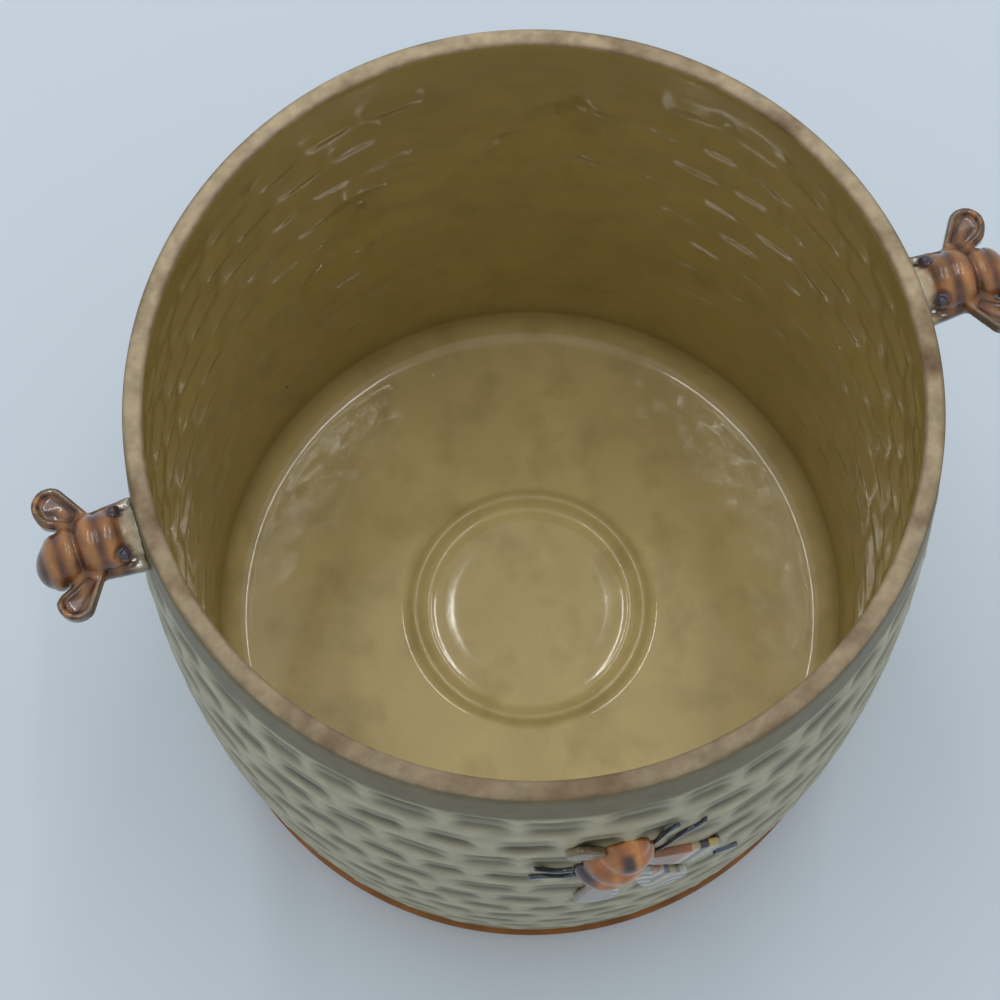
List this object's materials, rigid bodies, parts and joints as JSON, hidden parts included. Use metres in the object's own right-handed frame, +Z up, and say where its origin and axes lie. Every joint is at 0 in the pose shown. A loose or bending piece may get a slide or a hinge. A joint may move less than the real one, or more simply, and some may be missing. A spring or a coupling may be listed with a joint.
{
  "type": "cookie jar pot",
  "caption": "Round ceramic cookie jar pot with a basket weave wall, bee shaped side handles and bees in relief, open at the top with a bare rim for a lid.",
  "frame": {"origin": "under the middle of the foot, on the surface that the pot stands on", "axes": "+Z up through the mouth, side handles on the X axis, front bee on the -Y side"},
  "size_m": [0.182, 0.1608, 0.149],
  "materials": {
    "weave_glaze": "gloss",
    "foot_glaze": "satin",
    "bee_glaze": "gloss",
    "wing_glaze": "gloss",
    "dark_glaze": "gloss"
  },
  "bodies": {
    "root": {"jar_body": "weave_glaze", "foot_ring": "foot_glaze", "left_handle_neck": "weave_glaze", "left_handle_bee_body": "bee_glaze", "left_handle_front_wing": "bee_glaze", "left_handle_rear_wing": "bee_glaze", "left_handle_legs": "bee_glaze", "left_handle_eyes": "dark_glaze", "right_handle_neck": "weave_glaze", "right_handle_bee_body": "bee_glaze", "right_handle_front_wing": "bee_glaze", "right_handle_rear_wing": "bee_glaze", "right_handle_legs": "bee_glaze", "right_handle_eyes": "dark_glaze", "front_bee_body": "bee_glaze", "front_bee_wings": "wing_glaze", "front_bee_legs": "dark_glaze", "rear_right_bee_body": "bee_glaze", "rear_right_bee_wings": "wing_glaze", "rear_right_bee_legs": "dark_glaze", "rear_left_bee_body": "bee_glaze", "rear_left_bee_wings": "wing_glaze", "rear_left_bee_legs": "dark_glaze"}
  },
  "joints": []
}
